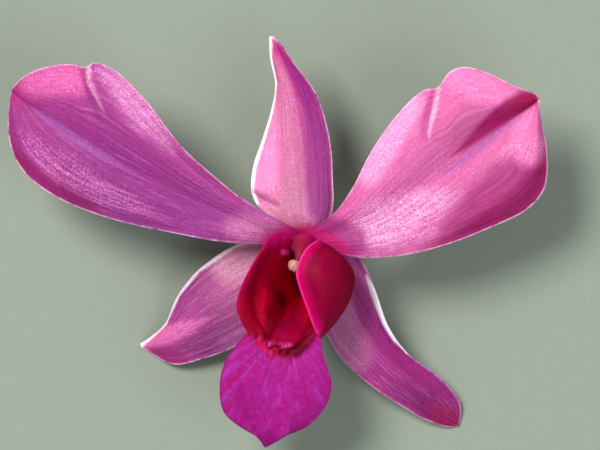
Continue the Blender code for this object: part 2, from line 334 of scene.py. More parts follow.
def petalFinish(name, values):
    finish = Finish(name)
    across, along, edge, front = [finish.mark(k) for k in ("across", "along", "edge", "front")]
    drift = finish.noise(7.0) * values["wander"]
    single = ((across * values["veins"] + drift).wave() * 0.5 + 0.5) ** 3.0
    double = ((across * values["veins"] * 2.0 + drift * 1.4).wave() * 0.5 + 0.5) ** 3.0
    fork, forkShare = along.rise(0.3, 0.6), 0.6
    veins = (single * (1.0 - fork * forkShare) + double * fork * forkShare) * along.rise(0.9, 0.5)
    streaks = finish.noise(1.0, 4.0, 0.65, finish.alongVeins())
    blotches = finish.noise(4.5, 3.0, 0.6)
    mottle = finish.noise(1.2, 4.0, 0.7)
    cells = finish.noise(0.24, 2.0, 0.7)

    body = finish.ramp(along + (mottle - 0.5) * 0.15, values["body"])
    # painted light and shade: one half of each sheet is made lighter or darker, as that half turns to or
    # from the light
    sideShare = (across + mottle * 0.3 - 0.15).rise(*values["sideFrom"]) * values["sideShare"]
    body = finish.mix(sideShare, body, values["side"])
    body = finish.mix(veins * values["veinShare"], body, values["vein"])
    body = finish.mix(streaks.rise(0.5, 0.75) * values["streakShare"], body, values["streak"])
    body = finish.mix(streaks.rise(0.5, 0.3) * values["streakShare"] * 0.6, body, values["vein"])
    body = finish.mix(mottle.rise(0.5, 0.75) * 0.2, body, values["vein"])
    body = finish.strokes(body, values["strokes"], streaks * 0.6 + cells * 0.6 - 0.6)
    # painted sparkle: a grain of lighter and darker cells laid over the colour stands for glints of light
    # off the cells
    paintedSparkle = finish.ramp(cells + mottle * 0.5 - 0.25, cellSparkleStops)
    body = finish.mix(blotches.rise(0.3, 0.6) * 0.6 + 0.35, body, paintedSparkle, "OVERLAY")
    # pale thin margins along the outline, brightened as painted backlight
    backlitMarginShare = (edge + blotches * 0.2).rise(values["rimWidth"], 0.12) * mottle.rise(0.3, 0.6)
    body = finish.mix(backlitMarginShare * along.rise(0.08, 0.25) * values["rimShare"], body, values["rim"])
    body = finish.mix((1.0 - front) * values["backShare"], body, values["back"])

    low = finish.bump(veins * 0.4 + streaks * 1.2, 0.1)
    normal = finish.bump(cells, values["grain"], low)
    rough = 0.5 - cells.rise(0.5, 0.8) * 0.16
    return finish.close(body, rough, normal, values)


# Petals

# painted sparkle: the light and dark of single cells, as light values and not as picked colours, stand for
# the cell grain and the glints of light off it
cellSparkleStops = [(0.3, (0.4, 0.38, 0.4, 1.0)), (0.5, (0.5, 0.5, 0.5, 1.0)), (0.72, (0.8, 0.82, 0.82, 1.0))]
# deeper crimson around the heart, where all the pieces meet
heartBlush = stroke((180, 14, 102), 0.95, 1.9, [(-4.2, 0.4, 0.5), (-1.6, 1.1, 0.7), (0.6, 1.3, 0.7),
    (3.2, 0.2, 0.8), (5.4, -0.8, 0.4)])
leftPetal = {
    "curves": [
        [(-0.7, 2.2, -2.4), (-1.9, 2.7, -1.5), (-5.2, 4.5, 0.4), (-10, 7.7, 1.8), (-16.8, 13.8, 3.6),
         (-22, 20.5, 4.8), (-26, 24.3, 5.4), (-28.8, 25.4, 5.6), (-30.1, 24.8, 5.8), (-32.2, 25.2, 6),
         (-36.4, 24.6, 5.2), (-39.2, 23.2, 3.8), (-40.3, 22, 2.6)],
        [(-0.7, 1.1, -2.4), (-1.95, 1.3, -1.5), (-6, 2.7, 0.1), (-12, 5.2, 1.3), (-20, 8.8, 2.6),
         (-28, 13, 3.2), (-35, 17.6, 3), (-40.5, 21.6, 2.3)],
        [(-0.7, 0, -2.5), (-2, -0.2, -1.6), (-6, 0.1, -0.2), (-12, 0.6, 0.6), (-20, 2.1, 1.4),
         (-28, 4.1, 1.7), (-35, 7.1, 1.5), (-38.7, 10, 1.3), (-40.6, 13.4, 1.4), (-41.1, 17.2, 1.7),
         (-40.6, 21.2, 2.3)],
    ],
    "rows": 260, "perSpan": 56, "thickness": 0.5, "thinEdge": 2.2, "edgeShare": 0.45, "swell": 1.1,
    "hump": 0.35, "groove": 0.45, "grooveWidths": (0.12, 0.18), "grooveFrom": (0.15, 0.6), "reflex": 0.7,
    "crease": {"x": (-26.8, -27.4, -28.1, -29.1, -29.8, -29.9), "y": (17.0, 18.6, 20.2, 21.6, 23.5, 25.6),
        "height": 0.9, "width": 0.26, "reach": 5.0},
    "ruffle": 0.3, "veinRidge": 0.022, "billow": 0.13, "seed": 3,
    # painted shade: this petal's colours are darker and purpler than the right petal's, as it is turned
    # away from the light
    "body": [(0.0, (190, 46, 120)), (0.1, (162, 62, 138)), (0.3, (138, 48, 124)), (0.65, (132, 42, 118)),
        (1.0, (152, 46, 122))],
    # painted light: the upper half of this petal is made pinker and brighter, where light comes through it
    "side": (172, 64, 142), "sideFrom": (0.1, -0.8), "sideShare": 0.6,
    "strokes": {
        "lowGlint": stroke((206, 120, 184), 0.22, 2.2, [(-39, 15.6, -0.6), (-34.6, 11.4, 0.8),
            (-28, 7.2, 0.8), (-19, 4, -1)], 3.0),
        # the pale mid vein, lightened further as a painted highlight along its groove
        "midrib": stroke((160, 92, 170), 0.45, 1.1, [(-39, 20.3, -1), (-36, 18.2, 0.1), (-32, 15.3, 0.2),
            (-28, 12.6, 0.1), (-20, 7.8, -1)]),
        "tipShade": stroke((168, 30, 116), 0.6, 1.8, [(-40, 21.2, 0.5), (-38.4, 20.6, 0.1)]),
        # painted shade along the lower margin, which curls away from the light
        "lowerMargin": stroke((138, 24, 92), 0.75, 1.8, [(-40.9, 15, -0.8), (-40, 12.4, -0.1),
            (-38, 9.7, 0.8), (-35, 7.3, 1.1), (-29.6, 5, 0.3)]),
        # painted light on the far part of the upper half
        "farTop": stroke((232, 108, 172), 0.6, 2.8, [(-37.4, 22.6, 0.4), (-35, 23.2, 0.9),
            (-31.8, 23.2, 0.8)], 1.5),
        # painted highlight on the near part of the upper half
        "nearTop": stroke((226, 142, 196), 0.6, 2.2, [(-28, 24.4, -0.4), (-24.6, 21.4, 0.8),
            (-21.6, 17.6, 0.6), (-18, 13, -1)], 2.5),
        "creaseShade": stroke((116, 28, 104), 0.5, 0.7, [(-30.5, 24.4, 0.1), (-30, 21.9, 0.2),
            (-28.9, 19.7, 0.2), (-28, 17.4, 0.1)]),
        # painted highlight: the lit edge of the crease
        "creaseEdge": stroke((248, 186, 220), 0.6, 0.4, [(-29.7, 24.8, 0.08), (-29.6, 22.9, 0.06),
            (-28.8, 21.2, 0.02), (-28, 19.8, -0.04), (-27, 17.8, -0.3)]),
        "clawLight": stroke((206, 120, 172), 0.6, 2.6, [(-9.4, 2.6, 0), (-7.6, 2.4, 0.8), (-5.5, 2, 1)]),
        "heartBlush": heartBlush,
    },
    "vein": (128, 26, 104), "veins": 46.0, "wander": 3.0, "veinShare": 0.13, "streak": (224, 138, 200),
    "streakShare": 0.28, "rim": (252, 214, 236), "rimWidth": 0.42, "rimShare": 0.65,
    "back": (206, 146, 190), "backShare": 0.55, "grain": 0.06, "glow": (214, 50, 130),
    "translucence": 0.16, "gloss": 0.22,
}

rightPetal = dict(leftPetal)
rightPetal.update({
    "curves": [
        [(0.7, 2.2, -2.4), (1.9, 2.6, -1.5), (4.8, 4.7, 0.4), (7, 7.9, 1.8), (10, 13.6, 3.4),
         (13.8, 18.8, 4.8), (17, 21.6, 5.4), (19, 22, 5.8), (20.4, 24, 6.4), (22.4, 24.8, 6.4),
         (26, 23.9, 5.6), (29.6, 22.2, 4.4), (31.6, 21.5, 3.4), (32.8, 21.1, 2.9), (33.2, 20.8, 2.7)],
        [(0.7, 1, -2.4), (1.95, 1.2, -1.5), (6, 2, 0.1), (12, 4.4, 1.3), (19, 9.4, 2.4), (26, 15.1, 2.8),
         (33.1, 20.5, 2.6)],
        [(0.7, -0.2, -2.5), (2.2, -0.6, -1.6), (5.2, -1.2, -0.3), (8, -1.7, 0.2), (14, -1.4, 1),
         (20, 0, 1.4), (26, 2.3, 1.4), (31.6, 5.1, 1.2), (33.9, 7.9, 1.2), (34.3, 12, 1.4),
         (33.7, 16.4, 1.9), (33.1, 19.2, 2.4), (33.2, 20.2, 2.5)],
    ],
    "swell": 1.3, "hump": 0.7, "groove": 1.0, "grooveWidths": (0.22, 0.24), "grooveFrom": (0.42, 0.8),
    "reflex": 1.2,
    "crease": {"x": (17.4, 17.7, 17.9, 18.2, 18.7, 19.3), "y": (14.4, 16.0, 17.4, 18.9, 20.4, 22.6),
        "height": 0.95, "width": 0.26, "reach": 5.0},
    "seed": 8,
    # painted light: this petal's colours are brighter than the left petal's, as it is turned towards the
    # light
    "body": [(0.0, (176, 34, 118)), (0.09, (182, 60, 138)), (0.25, (198, 96, 154)), (0.7, (206, 96, 154)),
        (1.0, (204, 86, 146))],
    # painted light: the upper half of this petal is made brighter
    "side": (222, 106, 166), "sideShare": 0.5,
    "strokes": {
        "lowGlint": stroke((244, 176, 222), 0.34, 3.0, [(6, 1, -0.4), (10.8, 2.8, 1.8), (17, 4.8, 1.6),
            (22, 7, -1)], 3.0),
        # painted highlights along fine wrinkle lines near the far margin
        "wrinkles": stroke((250, 160, 210), 0.3, 2.6, [(25, 9.6, -0.6), (28.6, 11, 1),
            (32, 12.8, 0.8)], 5.0),
        "lowerShade": stroke((156, 44, 114), 0.9, 3.6, [(20, 2.6, -0.8), (25, 6, 1), (28.6, 8.6, 2),
            (31, 9.4, 1.6)], 2.4),
        # painted shade along the lower margin, which curls away from the light
        "lowerMargin": stroke((140, 14, 86), 0.95, 2.1, [(17, -0.8, -0.6), (22, 0.9, 0.5), (26, 2.6, 1.3),
            (30, 4.6, 1.9), (32.4, 6.8, 1.9), (33.7, 9.6, 1), (34.2, 12.5, 0.3)]),
        "farLight": stroke((240, 128, 184), 0.6, 2.2, [(31.2, 17.2, 1), (31.6, 13.2, 1)]),
        # painted light on the far part of the upper half
        "farTop": stroke((248, 132, 190), 0.65, 2.2, [(20.9, 23.4, 0.5), (24, 22.2, 1), (28, 21.2, 0.5)]),
        # painted highlight on the near part of the upper half
        "nearTop": stroke((248, 166, 216), 0.65, 2.4, [(15.4, 20, 0.2), (13.6, 17.2, 0.6),
            (11.2, 13.4, 0.7), (9.4, 10, 0.3)]),
        # painted shade in the groove down the middle, over the paler vein
        "valley": stroke((158, 84, 152), 0.7, 0.8, [(32, 20, 0.1), (30, 18.1, 0.3), (26, 14.7, 0.4),
            (22, 11.4, 0.2), (16, 7.4, -0.8)]),
        # painted shade on the slope that falls into the groove, which faces away from the light
        "flank": stroke((152, 10, 90), 0.95, 1.0, [(32.5, 20.6, 0.4), (31, 20.2, 0.8), (29, 19.1, 0.9),
            (27, 17.7, 0.8), (25, 16, 0.5), (22.6, 14, 0), (20, 11.8, -0.8)]),
        "tipShade": stroke((160, 0, 72), 0.8, 0.9, [(32.2, 20.5, 0.1), (30.8, 19.9, 0.4),
            (29.4, 19, 0.1)]),
        "creaseShade": stroke((170, 50, 130), 0.5, 0.8, [(18.4, 21.4, 0.1), (17.8, 19.6, 0.25),
            (17.2, 17.2, 0.25), (17, 15, 0.1)]),
        # painted highlight: the lit edge of the crease
        "creaseEdge": stroke((254, 206, 232), 0.6, 0.4, [(19.1, 21.9, 0.08), (18.7, 19.6, 0.04),
            (18.2, 17.6, 0), (17.8, 15.8, -0.1), (17.7, 14.2, -0.3)]),
        # the pale margin at the tip, brightened as painted backlight
        "tipEdge": stroke((252, 200, 226), 0.5, 0.3, [(32.6, 21.1, -0.1), (33.1, 20.5, 0.1),
            (33.1, 19.6, -0.1)]),
        "clawShade": stroke((142, 28, 112), 0.8, 1.8, [(3.6, 1.8, 1.4), (6.8, 0.6, 1.4)]),
        "heartBlush": heartBlush,
    },
})


def petalRelief(values):
    def relief(across, along, x, y, edge):
        middle = np.sin(math.pi * along)
        upper = np.clip(-across, 0.0, 1.0)
        lower = np.clip(across, 0.0, 1.0)
        height = values["swell"] * np.sin(math.pi * upper) ** 2 * middle
        height += values["hump"] * np.sin(math.pi * lower) * middle
        nearWidth, farWidth = values["grooveWidths"]
        grooveAt = 0.03
        width = np.where(across < grooveAt, nearWidth, farWidth)
        height -= values["groove"] * bell(across, grooveAt, width) * ramp(*values["grooveFrom"], along)
        height -= values["reflex"] * ramp(0.72, 1.0, lower) * ramp(0.2, 0.7, along) * ramp(1.0, 0.9, along)
        crease = values["crease"]
        beyond = x - np.interp(y, crease["y"], crease["x"])
        step = 0.5 + 0.5 * np.tanh(beyond / crease["width"])
        step = step * np.exp(-np.clip(beyond, 0.0, None) / crease["reach"]) - 0.4 * bell(beyond, -0.5, 0.6)
        step *= ramp(crease["y"][0] - 0.5, crease["y"][3], y) * ramp(0.1, 0.4, upper)
        height += crease["height"] * step
        height += values["ruffle"] * ripple(across, along, values["seed"], 2.0, 34.0) * np.abs(across) ** 5
        fade = ramp(0.1, 0.3, along) * ramp(1.0, 0.75, along)
        height += values["veinRidge"] * ripple(across, along, values["seed"] + 1, 44.0, 16.0) * fade
        height += values["billow"] * ripple(across, along, values["seed"] + 2, 11.0, 12.0) * middle
        return height
    return relief


def handOver(piece, material, slot, *nodes):
    piece.data.materials.append(material)
    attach(piece, "root")
    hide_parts(*nodes)


def makePetals():
    for name, node, values in (
        ("petalLeft", "petal_left", leftPetal),
        ("petalRight", "petal_right", rightPetal),
    ):
        petal = sheetPiece(name, values, petalRelief(values))
        handOver(petal, petalFinish(name + "Skin", values), "petal", node)


# Sepals

dorsalSepal = {
    "curves": [
        [(-0.9, 1, -3.6), (-2.4, 2.1, -2.8), (-4.2, 3.8, -2), (-6.4, 5.8, -1.8), (-7.1, 7.8, -1.6),
         (-6.8, 11, -1.2), (-5.5, 14.8, -0.9), (-4.3, 18.8, -0.7), (-3.7, 22.6, -0.7), (-4.4, 26.2, -1.1),
         (-4.5, 29.1, -1.8)],
        [(0, 1, -3.6), (0, 2.1, -2.6), (-0.3, 4.6, -1), (-0.9, 11, 0.6), (-1.6, 17, 1.1), (-2.4, 23, 0.4),
         (-4.3, 29.3, -1.8)],
        [(0.9, 1, -3.6), (2.4, 1.9, -2.8), (3.9, 3.6, -2), (4.4, 6, -1.6), (4.3, 9, -1.1),
         (4.1, 13, -0.8), (3.3, 17.2, -0.6), (1.8, 21.4, -0.6), (-0.9, 25.1, -0.9), (-3, 28.1, -1.5),
         (-4.1, 29.2, -1.8)],
    ],
    "rows": 200, "perSpan": 40, "thickness": 0.6, "thinEdge": 1.6, "edgeShare": 0.45, "ridge": 0.4,
    "ridgeWidth": 0.8, "roll": (0.35, 0.0), "rollFrom": (0.05, 0.9), "seed": 21,
    "fold": ((-7.2, 7.3), (-3.6, 5.6)), "foldDepth": 0.7, "ruffle": 0.2, "veinRidge": 0.025,
    "billow": 0.08,
    "body": [(0.0, (206, 80, 140)), (0.16, (214, 136, 170)), (0.4, (216, 104, 156)),
        (0.75, (204, 74, 140)), (1.0, (206, 84, 146))],
    # painted shade: the right half is made darker and purpler, as the half turned away from the light
    "side": (146, 46, 130), "sideFrom": (-0.1, 0.7), "sideShare": 0.6,
    "strokes": {
        "leftLight": stroke((252, 142, 196), 0.8, 1.7, [(-4.2, 22, 0.2), (-4.4, 18, 0.7), (-4.9, 13, 1.1),
            (-5.2, 9.5, 1.1)]),
        "paleCentre": stroke((186, 114, 150), 0.6, 1.5, [(-3.2, 26, 0.2), (-2.2, 20, 0.5),
            (-1.6, 14, 0.7), (-1.4, 9, 0.8), (-1.2, 5, 1)]),
        "tipBlush": stroke((172, 24, 124), 0.85, 1.1, [(-3.2, 27.4, 0.1), (-1.5, 24.5, 0.3),
            (0.4, 20.9, 0.5), (1.3, 17.5, -0.2)]),
        "rightShade": stroke((140, 40, 122), 0.75, 1.5, [(-0.8, 24.4, 0), (1.4, 19.6, 0.6),
            (2.2, 14, 1.2), (2.4, 9, 1.3), (2.4, 5.4, 0.8)], 0.8),
        "foldShade": stroke((170, 80, 144), 0.6, 0.7, [(-7, 7.2, 0.1), (-5.5, 6.6, 0.35),
            (-3.6, 5.9, 0.1)]),
        # painted backlight: the thin left margin shines white
        "leftEdge": stroke((255, 240, 248), 0.95, 0.3, [(-6.4, 5.8, 0.1), (-7.1, 7.8, 0.2),
            (-6.8, 11, 0.24), (-5.5, 14.8, 0.24), (-4.3, 18.8, 0.16), (-3.7, 22.6, 0.12),
            (-4.4, 26.2, 0.16), (-4.5, 29, 0.2)]),
        "heartBlush": heartBlush,
    },
    "vein": (146, 34, 116), "veins": 24.0, "wander": 2.0, "veinShare": 0.14, "streak": (236, 176, 212),
    "streakShare": 0.3, "rim": (250, 220, 238), "rimWidth": 0.4, "rimShare": 0.6,
    "back": (210, 152, 190), "backShare": 0.55, "grain": 0.05, "glow": (214, 60, 140),
    "translucence": 0.16, "gloss": 0.22,
}

leftSepal = dict(dorsalSepal)
leftSepal.update({
    "curves": [
        [(-1, 0.9, -3.4), (-2, 0.9, -3.1), (-5.2, 1, -3.4), (-9.4, -0.1, -4.4), (-14.6, -3.6, -6.6),
         (-17.5, -7.1, -9), (-19.3, -11.2, -11.6), (-21.4, -13.1, -13.6), (-22.9, -14.1, -14.7)],
        [(-0.9, -2.3, -6.2), (-1.9, -2.6, -6.4), (-5, -4.8, -7.2), (-10, -8.2, -8.2),
         (-15.5, -11.4, -10.2), (-20, -13.6, -13), (-22.9, -14.3, -14.7)],
        [(-0.4, -7.2, -11.8), (-1.2, -7.6, -11.6), (-4.4, -11.2, -10.8), (-9.6, -14.4, -10.8),
         (-14, -16.1, -12), (-18, -17, -13.4), (-20.8, -15.8, -14.3), (-22.7, -14.5, -14.7)],
    ],
    "ridge": 0.8, "ridgeWidth": 0.5, "roll": (0.5, 0.0), "rollFrom": (0.1, 0.8), "fold": None, "seed": 33,
    "body": [(0.0, (222, 150, 186)), (0.3, (206, 114, 164)), (0.55, (158, 66, 134)),
        (0.85, (156, 52, 126)), (1.0, (206, 92, 146))],
    "side": (152, 56, 130), "sideFrom": (0.0, 0.7), "sideShare": 0.5,
    "strokes": {
        "paleBase": stroke((232, 156, 190), 0.8, 2.8, [(-4.5, -0.8, 1), (-9.4, -2.6, 1.5)]),
        "ridgeBand": stroke((232, 116, 182), 0.7, 1.1, [(-22.4, -14, 0.3), (-19, -12.7, 0.7),
            (-15.6, -11.4, 0.3), (-11, -9.2, -1)]),
        "tipShade": stroke((158, 28, 104), 0.6, 1.5, [(-20.6, -15.4, 0.4), (-17, -16.2, 0.4)]),
        "lowLight": stroke((170, 96, 160), 0.55, 2.0, [(-10.4, -13.2, 0.4), (-7.4, -11, 0.6)]),
        # painted backlight: the thin upper margin shines white
        "upperEdge": stroke((255, 234, 246), 0.9, 0.26, [(-5.2, 1, 0), (-9.4, -0.1, 0.04),
            (-14.6, -3.6, 0.06), (-17.5, -7.1, 0.08), (-19.3, -11.2, 0.12), (-21.4, -13.1, 0.24),
            (-22.9, -14.1, 0.4)]),
        "heartBlush": heartBlush,
    },
})

rightSepal = dict(leftSepal)
rightSepal.update({
    "curves": [
        [(0.4, -7.2, -11.8), (1.2, -7.6, -11.6), (3.4, -12.4, -9.8), (5.6, -16, -9.6), (9.9, -20, -10.4),
         (14, -22.8, -12), (17.8, -25, -13.6), (20.6, -25.9, -14.5), (22, -25.8, -14.7)],
        [(0.9, -2.3, -6.2), (1.9, -2.6, -6.4), (4.6, -6.8, -7.2), (8.2, -12.4, -7.8), (13, -17.6, -9.6),
         (18, -22.1, -12.4), (22.2, -25.6, -14.7)],
        [(1, 0.9, -3.4), (2, 0.9, -3.1), (5.8, 0.4, -3.4), (8.4, -2.2, -4.2), (10.2, -6, -5.4),
         (12.1, -11.4, -7.4), (14.8, -15.2, -9.4), (20, -19.3, -12), (22.4, -22.6, -13.8),
         (22.4, -25.3, -14.7)],
    ],
    "rows": 220, "ridge": 0.6, "roll": (0.0, 1.0), "rollFrom": (0.15, 0.62), "seed": 47, "rimShare": 0.35,
    "body": [(0.0, (210, 130, 172)), (0.3, (196, 98, 158)), (0.5, (164, 50, 130)), (0.8, (122, 16, 96)),
        (1.0, (116, 14, 78))],
    "side": (146, 42, 128), "sideFrom": (0.1, 0.6), "sideShare": 0.6,
    "strokes": {
        "streakyBase": stroke((194, 122, 164), 0.45, 2.0, [(4.6, -6, 0.4), (5.8, -11.4, 0.7),
            (8, -16, 0.8)], 1.6),
        # painted shade in the trough beside the rolled margin
        "darkBand": stroke((140, 22, 104), 0.75, 0.9, [(7.3, -5, 0.5), (9.2, -10, 0.7), (12, -14.4, 0.8),
            (16, -17.8, 0.7), (20, -21, 0.4)]),
        "tipShade": stroke((150, 24, 88), 0.7, 2.0, [(19.4, -24.2, 0.8), (22, -25.2, 0.6)]),
        # painted light: the curled margin catches the light and shows white
        "curledEdge": stroke((255, 246, 252), 1.0, 0.34, [(9.1, -4.2, -0.1), (10, -6.3, 0.14),
            (10.8, -8.5, 0.16), (11.8, -11.1, 0.08), (13.1, -13.4, 0), (14.8, -15.3, -0.1)]),
        "heartBlush": heartBlush,
    },
})


def sepalRelief(values):
    def relief(across, along, x, y, edge):
        height = values["ridge"] * bell(across, 0.0, values["ridgeWidth"])
        height *= ramp(0.1, 0.5, along) * ramp(1.0, 0.85, along)
        left, right = values["roll"]
        start, end = values["rollFrom"]
        rollWidth, blend = 1.3, 0.12
        window = ramp(start, start + blend, along) * ramp(end, end - blend, along)
        height += np.where(across < 0, left, right) * (across != 0) * ramp(rollWidth, 0.0, edge) * window
        if values["fold"]:
            away, share = nearLine(x, y, *values["fold"])
            height -= values["foldDepth"] * bell(away, 0.0, 0.5) * (1.0 - 0.7 * share)
        seed = values["seed"]
        height += values["ruffle"] * ripple(across, along, seed, 3.0, 22.0) * np.abs(across) ** 4
        height += values["veinRidge"] * ripple(across, along, seed + 1, 30.0, 9.0) * ramp(0.05, 0.2, along)
        height += values["billow"] * ripple(across, along, seed + 2, 8.0, 9.0)
        return height * ramp(0.0, 0.04, along)
    return relief


def makeSepals():
    for name, node, slot, values in (
        ("dorsalSepal", "dorsal_sepal", "dorsal_sepal", dorsalSepal),
        ("lateralSepalLeft", "lateral_sepal_left", "lateral_sepal", leftSepal),
        ("lateralSepalRight", "lateral_sepal_right", "lateral_sepal", rightSepal),
    ):
        sepal = sheetPiece(name, values, sepalRelief(values))
        handOver(sepal, petalFinish(name + "Skin", values), slot, node)


# Lip

lip = {
    "curves": [
        [(-0.6, -6.9, -10), (-1.3, -5, -7.6), (-1.5, -3, -4.6), (-1.5, -1.2, -1.2), (-1.5, 0.9, 1.2),
         (-2.6, 1.8, 2.5), (-4.2, 1.2, 3.4), (-6, -1.3, 4.2), (-8.4, -5.8, 4.8), (-9.1, -8.7, 4.2),
         (-8.5, -10.6, 3.4), (-7.6, -11.9, 2.8), (-9.2, -13.9, 2.6), (-10.8, -16.4, 2.4),
         (-11.5, -19.6, 1.8), (-11, -23.2, 0.8), (-8.8, -25.3, -0.2), (-6.7, -26.5, -0.7),
         (-5.7, -27.3, -0.9), (-5.2, -28.1, -1)],
        [(-0.4, -7.2, -10.2), (-1.6, -7.3, -7.8), (-3.1, -6.6, -4.8), (-4, -5.6, -2.2), (-4.8, -4.8, 0),
         (-5.6, -5.2, 1.2), (-6.4, -6.8, 1.8), (-6.6, -8.8, 1.8), (-6.1, -10.8, 1.7), (-5.4, -12.5, 1.9),
         (-6.2, -14.8, 2.4), (-7, -17.8, 2.4), (-7.5, -21.4, 1.7), (-7, -25, 0.4), (-5.3, -28.1, -1)],
        [(0, -7.4, -10.3), (-0.3, -8.7, -7.8), (-0.8, -9.7, -5), (-1.1, -10.6, -2.6), (-1.5, -11.8, -0.4),
         (-2, -13.2, 1.2), (-2.5, -14.9, 2), (-3.1, -17.6, 2.3), (-3.8, -21.4, 1.8), (-4.5, -25.2, 0.6),
         (-5.1, -28.3, -1)],
        [(0.4, -7.2, -10.2), (1.4, -7.3, -7.8), (3, -6.4, -4.8), (4.6, -5.2, -1.8), (6.2, -4, 0.6),
         (7.1, -4.6, 1.9), (6.8, -6.8, 2.2), (5.6, -9.2, 2), (3.9, -11.4, 1.6), (1.7, -13.6, 2),
         (1, -15.4, 2.4), (0.6, -18.4, 2.4), (-0.2, -22, 1.8), (-2.1, -25.6, 0.5), (-4.9, -28.1, -1)],
        [(0.5, -7, -10.1), (1.6, -6, -7.7), (2.8, -4.5, -4.7), (4, -2.9, -1.6), (4.7, -1.2, 1.8),
         (4.3, -1.1, 4.4), (3.2, -3, 5.8), (2.8, -5.2, 6.1), (2.9, -8, 5.2), (2.9, -10.6, 3.8),
         (2.3, -13.2, 2.6), (2.2, -15.4, 2.5), (2.6, -18.8, 2.2), (1.8, -22, 1.4), (-0.4, -25.2, 0.3),
         (-4.8, -28.1, -1)],
        [(0.6, -6.9, -10), (1.5, -5.3, -7.6), (2.1, -3.3, -4.6), (2.4, -1.4, -1.6), (2.5, 0.4, 0.9),
         (2, 0.6, 3.2), (0.4, -0.7, 4.6), (-0.8, -3.6, 5.1), (-0.3, -6, 4.8), (0.7, -8.8, 4.2),
         (1.6, -11.3, 3.1), (2.6, -13.2, 2.6), (3, -15.6, 2.5), (4.1, -19.2, 2), (3.4, -22.2, 1),
         (1, -25.1, 0), (-1.5, -26.3, -0.5), (-3.7, -26.7, -0.7), (-4.5, -27.3, -0.9), (-4.9, -28.1, -1)],
    ],
    "rows": 300, "perSpan": 24, "thickness": 0.5, "thinEdge": 1.2, "edgeShare": 0.55,
    "callusLine": ((-0.4, -8.2), (-2.6, -13.8)), "callusHalfWidth": (1.2, 2.2), "callusHeight": 0.9,
    "callusSkew": 0.4, "keels": (-1.2, 0.0, 1.2), "keelHeight": 0.25,
    "frills": ((-4.5, -13.9), (-3.8, -14.3), (-3.1, -13.9), (-2.3, -14.2), (-1.5, -13.8), (-0.7, -13.9)),
    "frillHeight": 0.36, "frillRadius": 0.34, "streakHeight": 0.25,
    "mouth": ((-6.4, -12.4), (-5.2, -13.6), (-3.8, -14.6), (-2.4, -14.8), (-1.0, -14.0), (0.4, -13.0),
        (1.6, -12.0)),
    "mouthHeight": 0.26, "streakLine": ((-5.0, -6.6), (-5.3, -9.6)), "fanFrom": (-2.3, -11.0),
    "fanVeins": 44.0, "waveHeight": 0.15, "veinRidge": 0.03, "ruffle": 0.14, "creaseDepth": 0.4,
    "grainSpot": (-4.2, -14.6), "grainHeight": 0.12,
    "strokes": {
        # painted highlight on the ridge down the cavity wall
        "redStreak": stroke((186, 0, 40), 0.15, 0.7, [(-5.1, -6.8, 0.1), (-5.2, -8.4, 0.3),
            (-5.3, -9.8, 0.1)]),
        "topBlush": stroke((176, 6, 88), 0.8, 1.2, [(-5, 0.4, 0.3), (-2.6, 1.4, 0.4)]),
        "glint": stroke((255, 50, 165), 1.1, 0.4, [(-2.7, -0.85, 0.15), (-2.25, -0.95, 0.15)]),
        # painted shade deep in the cavity
        "hollow": stroke((84, 0, 14), 0.7, 1.2, [(-3.2, -7.6, 0.3), (-3.9, -9.6, 0.7), (-4.1, -11, 0.6),
            (-4.8, -12.6, 0.2)]),
        # painted shade in the hollow to the right of the plate
        "rightHollow": stroke((98, 0, 26), 0.75, 0.9, [(1.6, -10.6, 0.2), (0.8, -12.8, 0.3),
            (-0.6, -14.9, 0.2)]),
        "papillae": stroke((176, 16, 50), 0.6, 0.8, [(-6.3, -13.4, 0.2), (-5, -14.6, 0.3),
            (-3.8, -15.2, 0.3)], 2.5),
        "frillShade": stroke((88, 0, 14), 0.85, 0.9, [(-3.6, -15.2, -0.3), (-2.2, -15, 0.3),
            (-0.8, -14.9, 0.5), (0.2, -14.2, 0.3)]),
        "frillLight": stroke((206, 70, 150), 0.3, 0.4, [(-4.6, -13.9, 0.1), (-3.6, -14.2, 0.15),
            (-2.6, -14, 0.12), (-1.6, -13.9, 0)], 4.0),
        "pointShade": stroke((128, 10, 90), 0.7, 1.3, [(-5, -28.2, 0.4), (-4.6, -26.4, 0.1)]),
        "foldShade": stroke((136, 16, 98), 0.6, 0.8, [(-8.6, -20, 0.1), (-8.4, -23, 0.3),
            (-7, -25.8, 0.2)]),
    },
    # painted light and shade among these colours: the throat is a brighter red than the wall, standing for
    # light through the walls; the outer edge colours and the edge colour are lit margins; the dark colour
    # is shade on the lobe's outer side
    "throat": (184, 0, 36), "wall": (136, 0, 36), "outer": (128, 0, 44), "outerEdge": (178, 2, 84),
    "edge": (222, 46, 132), "wallEdge": (184, 2, 84), "callus": (142, 2, 56), "dark": (92, 0, 20),
    "lobe": (148, 24, 122), "lobeVein": (158, 6, 84), "lobeLight": (166, 54, 164),
    "lobeRim": (120, 10, 84), "glow": (190, 10, 90), "translucence": 0.14, "gloss": 0.05,
}


def lipFloor(across):
    return ramp(0.75, 0.4, np.abs(across + 0.2))


def callusPlate(x, y, across):
    # the plate widens towards its ragged end, which lies askew
    (sx, sy), (ex, ey) = lip["callusLine"]
    length = math.hypot(ex - sx, ey - sy)
    forward = ((x - sx) * (ex - sx) + (y - sy) * (ey - sy)) / length
    sideways = ((x - sx) * (ey - sy) - (y - sy) * (ex - sx)) / length
    near, far = lip["callusHalfWidth"]
    ragged = 0.35 * ripple(x, y, 68, 2.6, 2.6)
    width = near + (far - near) * ramp(0.0, length, forward) + ragged
    end = length + lip["callusSkew"] * sideways + ragged
    plate = ramp(width, width - 0.5, np.abs(sideways)) * ramp(end + 0.5, end - 0.1, forward)
    plate *= ramp(0.0, 2.0, forward) * lipFloor(across)
    return plate, forward, sideways


def fanTurn(x, y):
    fromX, fromY = lip["fanFrom"]
    return np.arctan2(x - fromX, fromY - y)


